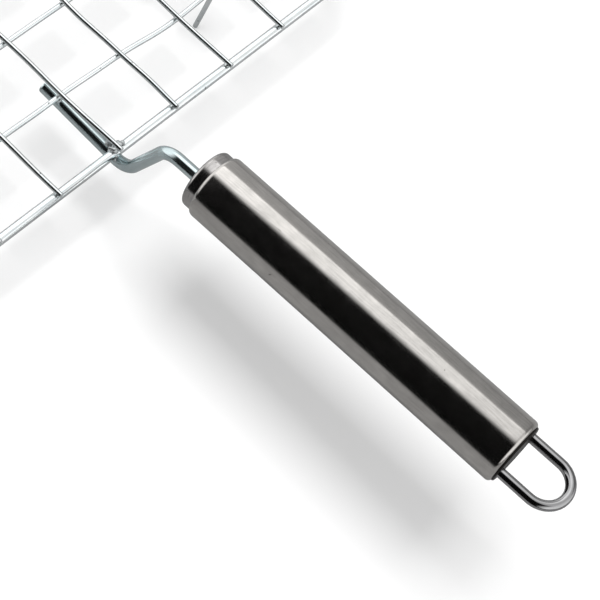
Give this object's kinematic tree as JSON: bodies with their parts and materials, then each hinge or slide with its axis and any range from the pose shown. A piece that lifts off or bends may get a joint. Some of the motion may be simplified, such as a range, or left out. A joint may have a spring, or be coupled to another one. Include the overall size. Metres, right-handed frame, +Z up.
{
  "type": "grill basket",
  "caption": "Wire grill basket open like a book: flat mesh tray on short wire legs with a steel tube handle and hanging loop, and a shallow hinged mesh lid with a latch.",
  "frame": {"origin": "on the table, under the middle of the open basket's bounding box", "axes": "+Z up, handle toward -Y, lid laid open toward +Y, +X across the basket with the handle at the near side"},
  "size_m": [0.2532, 0.5857, 0.068],
  "materials": {
    "wire_plating": "bright plated steel wire",
    "rod_plating": "bright plated steel rod",
    "grip_steel": "satin polished stainless steel",
    "loop_steel": "polished stainless steel wire",
    "strap_steel": "plated sheet steel",
    "plug_black": "black moulded plastic"
  },
  "bodies": {
    "tray": {"handle_cap": "grip_steel", "handle_plug": "plug_black", "handle_rod": "rod_plating", "handle_tube": "grip_steel", "hang_loop": "loop_steel", "left_hinge_clip": "strap_steel", "left_leg_wire": "wire_plating", "right_hinge_clip": "strap_steel", "right_leg_wire": "wire_plating", "rod_washer": "strap_steel", "tray_cross_wire_1": "wire_plating", "tray_cross_wire_2": "wire_plating", "tray_cross_wire_3": "wire_plating", "tray_cross_wire_4": "wire_plating", "tray_cross_wire_5": "wire_plating", "tray_cross_wire_6": "wire_plating", "tray_cross_wire_7": "wire_plating", "tray_frame": "wire_plating", "tray_long_wire_1": "wire_plating", "tray_long_wire_2": "wire_plating", "tray_long_wire_3": "wire_plating", "tray_long_wire_4": "wire_plating", "tray_long_wire_5": "wire_plating", "tray_long_wire_6": "wire_plating", "tray_long_wire_7": "wire_plating", "tray_long_wire_8": "wire_plating", "tray_long_wire_9": "wire_plating"},
    "lid": {"lid_cross_wire_1": "wire_plating", "lid_cross_wire_2": "wire_plating", "lid_cross_wire_3": "wire_plating", "lid_cross_wire_4": "wire_plating", "lid_cross_wire_5": "wire_plating", "lid_cross_wire_6": "wire_plating", "lid_cross_wire_7": "wire_plating", "lid_frame": "wire_plating", "lid_long_wire_1": "wire_plating", "lid_long_wire_2": "wire_plating", "lid_long_wire_3": "wire_plating", "lid_long_wire_4": "wire_plating", "lid_long_wire_5": "wire_plating", "lid_long_wire_6": "wire_plating", "lid_long_wire_7": "wire_plating", "lid_long_wire_8": "wire_plating", "lid_long_wire_9": "wire_plating", "lid_rim": "wire_plating", "lid_struts": "wire_plating"},
    "latch": {"latch_hook": "strap_steel"}
  },
  "joints": [
    {"name": "lid_hinge", "type": "hinge", "parent": "tray", "child": "lid", "pos_m": [0, 0.08305, 0.03275], "axis": [1, 0, 0], "range_deg": [0, 180]},
    {"name": "latch_swing", "type": "hinge", "parent": "lid", "child": "latch", "pos_m": [-0.0125, 0.28805, 0.03275], "axis": [1, 0, 0], "range_deg": [-10, 174.2]}
  ]
}
